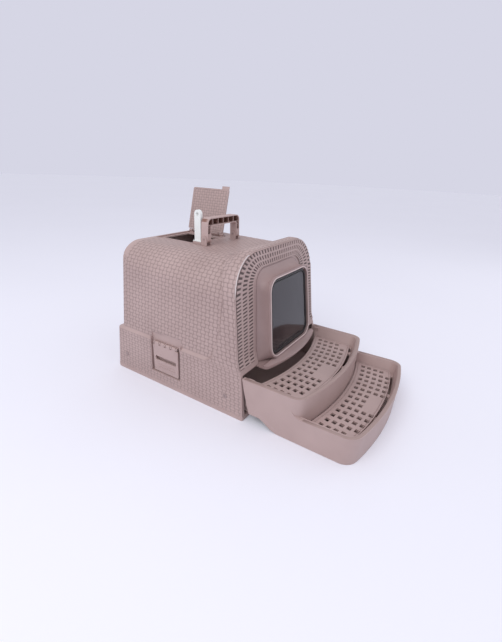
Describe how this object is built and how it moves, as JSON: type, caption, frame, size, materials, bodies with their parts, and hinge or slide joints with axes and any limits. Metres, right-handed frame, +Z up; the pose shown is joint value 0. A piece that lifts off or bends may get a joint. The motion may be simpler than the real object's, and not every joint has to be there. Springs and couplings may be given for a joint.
{
  "type": "drawer litter box",
  "caption": "Woven-look hooded litter box with smoky flap door, top lid, carry handle and a two-step pull-out drawer.",
  "frame": {"origin": "on the floor under the base tray, in its middle plane, 221 mm behind its front edge", "axes": "+Z up, -Y the way the door faces and the drawer pulls, +X to the right seen from behind the box"},
  "size_m": [0.416, 0.751, 0.5095],
  "materials": {
    "taupe_plastic": "satin moulded, woven relief on the hood",
    "button_plastic": "satin moulded",
    "white_plastic": "semi-gloss",
    "smoky_clear": "smoky clear, smooth",
    "dark_pin_steel": "plain wire"
  },
  "bodies": {
    "shell": {"base_tray": "taupe_plastic", "hood_shell": "taupe_plastic", "front_panel": "taupe_plastic", "door_pin_left": "dark_pin_steel", "door_pin_right": "dark_pin_steel", "lid_hinge_rod": "dark_pin_steel", "handle_pin_left": "button_plastic", "handle_pin_right": "button_plastic", "latch_pin_left": "dark_pin_steel", "latch_pin_right": "dark_pin_steel", "scoop_collar": "taupe_plastic", "snap_button_rear_left": "button_plastic", "snap_button_rear_right": "button_plastic", "snap_button_front_left": "button_plastic", "snap_button_front_right": "button_plastic"},
    "drawer": {"drawer_tray": "taupe_plastic"},
    "upper_grid": {"upper_step_grid": "taupe_plastic"},
    "lower_grid": {"lower_step_grid": "taupe_plastic"},
    "door": {"flap_door": "smoky_clear"},
    "lid": {"top_lid": "taupe_plastic"},
    "handle": {"carry_handle": "taupe_plastic"},
    "latch_left": {"side_latch_left": "taupe_plastic"},
    "latch_right": {"side_latch_right": "taupe_plastic"},
    "scoop_body": {"scoop": "white_plastic"}
  },
  "joints": [
    {"name": "drawer_slide", "type": "slide", "parent": "shell", "child": "drawer", "axis": [0, -1, 0], "range_m": [0, 0.3]},
    {"name": "upper_grid_lift", "type": "slide", "parent": "drawer", "child": "upper_grid", "axis": [0, 0, 1], "range_m": [0, 0.08]},
    {"name": "lower_grid_lift", "type": "slide", "parent": "drawer", "child": "lower_grid", "axis": [0, 0, 1], "range_m": [0, 0.08]},
    {"name": "door_swing", "type": "hinge", "parent": "shell", "child": "door", "pos_m": [0, -0.2088, 0.31854], "axis": [1, 0, 0], "range_deg": [-60, 75]},
    {"name": "lid_hinge", "type": "hinge", "parent": "shell", "child": "lid", "pos_m": [0.07, 0.115, 0.376], "axis": [0, -1, 0], "range_deg": [0, 104]},
    {"name": "handle_fold", "type": "hinge", "parent": "shell", "child": "handle", "pos_m": [0, 0.005, 0.388], "axis": [1, 0, 0], "range_deg": [0, 90]},
    {"name": "latch_left_swing", "type": "hinge", "parent": "shell", "child": "latch_left", "pos_m": [-0.2005, 0.032, 0.123], "axis": [0, 1, 0], "range_deg": [0, 100]},
    {"name": "latch_right_swing", "type": "hinge", "parent": "shell", "child": "latch_right", "pos_m": [0.2005, 0.032, 0.123], "axis": [0, -1, 0], "range_deg": [0, 100]},
    {"name": "scoop_lift", "type": "slide", "parent": "shell", "child": "scoop_body", "axis": [0, 0, 1], "range_m": [0, 0.045]}
  ]
}
